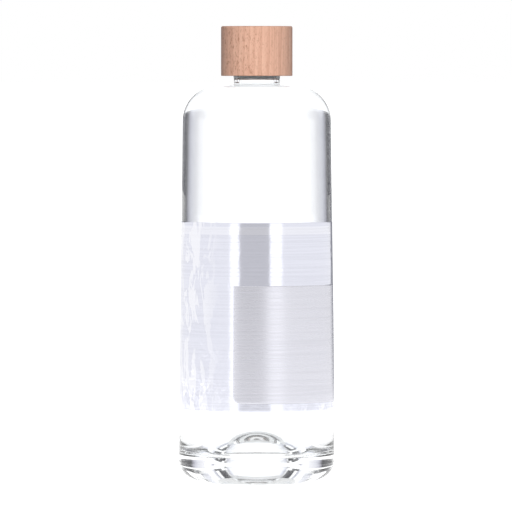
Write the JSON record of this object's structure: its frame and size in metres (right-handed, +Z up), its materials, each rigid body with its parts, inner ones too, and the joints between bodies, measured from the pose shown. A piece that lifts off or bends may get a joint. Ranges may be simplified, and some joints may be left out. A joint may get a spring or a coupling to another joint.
{
  "type": "glass water bottle",
  "caption": "Tall clear glass bottle with rounded shoulders and a domed base, film labels, and a wood-covered screw cap that turns and lifts off.",
  "frame": {"origin": "centre of the flat ring that the bottle stands on", "axes": "+Z up along the bottle's axis; the front, where both labels are, faces -Y"},
  "size_m": [0.0808, 0.0808, 0.2371],
  "materials": {
    "clear_glass": "polished clear glass",
    "silver_film": "translucent pale silver film",
    "beech": "sanded beech, vertical grain, unvarnished",
    "insert_plastic": "moulded polypropylene",
    "liner_foam": "soft foamed polyethylene"
  },
  "bodies": {
    "bottle": {"glass_bottle": "clear_glass", "main_label": "silver_film", "over_label": "silver_film"},
    "liner": {"seal_liner": "liner_foam"},
    "cap": {"screw_insert": "insert_plastic", "wood_cap_cover": "beech"}
  },
  "joints": [
    {"name": "cap_lift", "type": "slide", "parent": "bottle", "child": "liner", "axis": [0, 0, 1], "range_m": [0, 0.0244]},
    {"name": "cap_turn", "type": "hinge", "parent": "liner", "child": "cap", "pos_m": [0, 0, 0.2113], "axis": [0, 0, 1], "range_deg": [0, 2070]}
  ],
  "couplings": [
    {"joint": "cap_lift", "follows": "cap_turn", "m_per_rad": 0.00067322}
  ]
}
